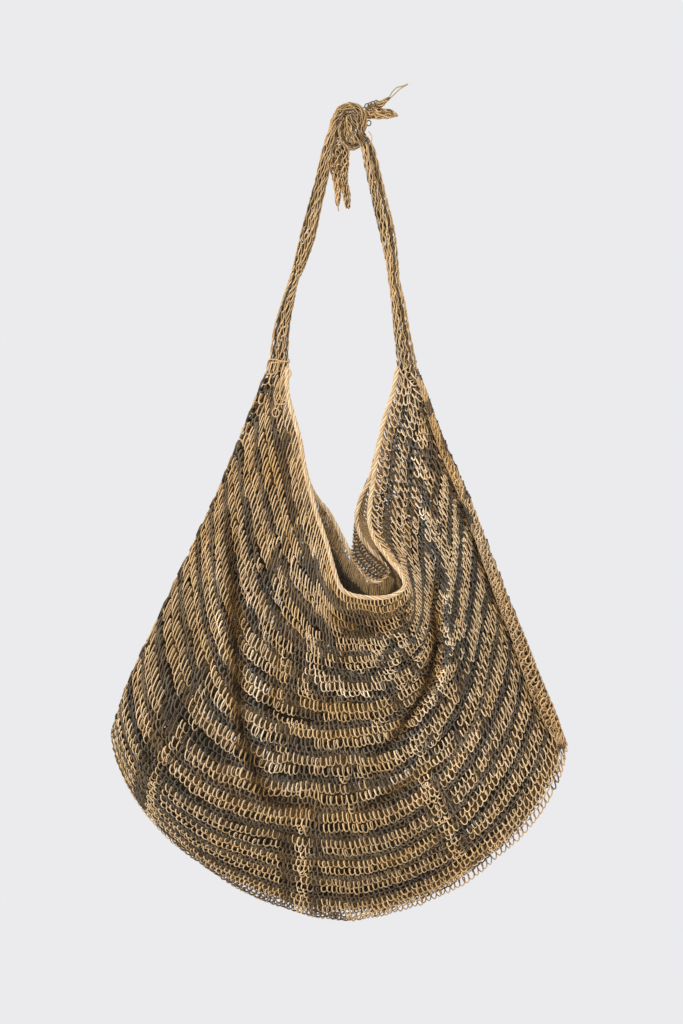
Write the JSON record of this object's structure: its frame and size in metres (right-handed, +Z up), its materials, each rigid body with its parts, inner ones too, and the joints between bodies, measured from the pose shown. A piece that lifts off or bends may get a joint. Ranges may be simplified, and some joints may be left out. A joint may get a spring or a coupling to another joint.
{
  "type": "bilum string bag",
  "caption": "Looped net bag of hand-rolled bast yarn with a knotted strap, hanging empty and folded flat from its knot.",
  "frame": {"origin": "the point that a hook holds, at the inner top of the strap's loop just under the knot", "axes": "+Z up along the hanging bag, +X to the right of the front face, -Y out of the front face"},
  "size_m": [0.5472, 0.0853, 0.9895],
  "materials": {
    "net": "dry hand-rolled bast yarn, undyed tan with dyed brown and slate courses",
    "tan_yarn": "dry undyed bast yarn, two strands rolled together",
    "strap": "stretched looped bast yarn, tan and brown strands"
  },
  "bodies": {
    "root": {"bag_body": "net", "mouth_binding": "tan_yarn", "strap_left": "strap", "strap_right": "strap", "strap_knot": "strap", "tail_down": "strap", "tail_side": "strap", "joining_yarn": "tan_yarn"}
  },
  "joints": []
}
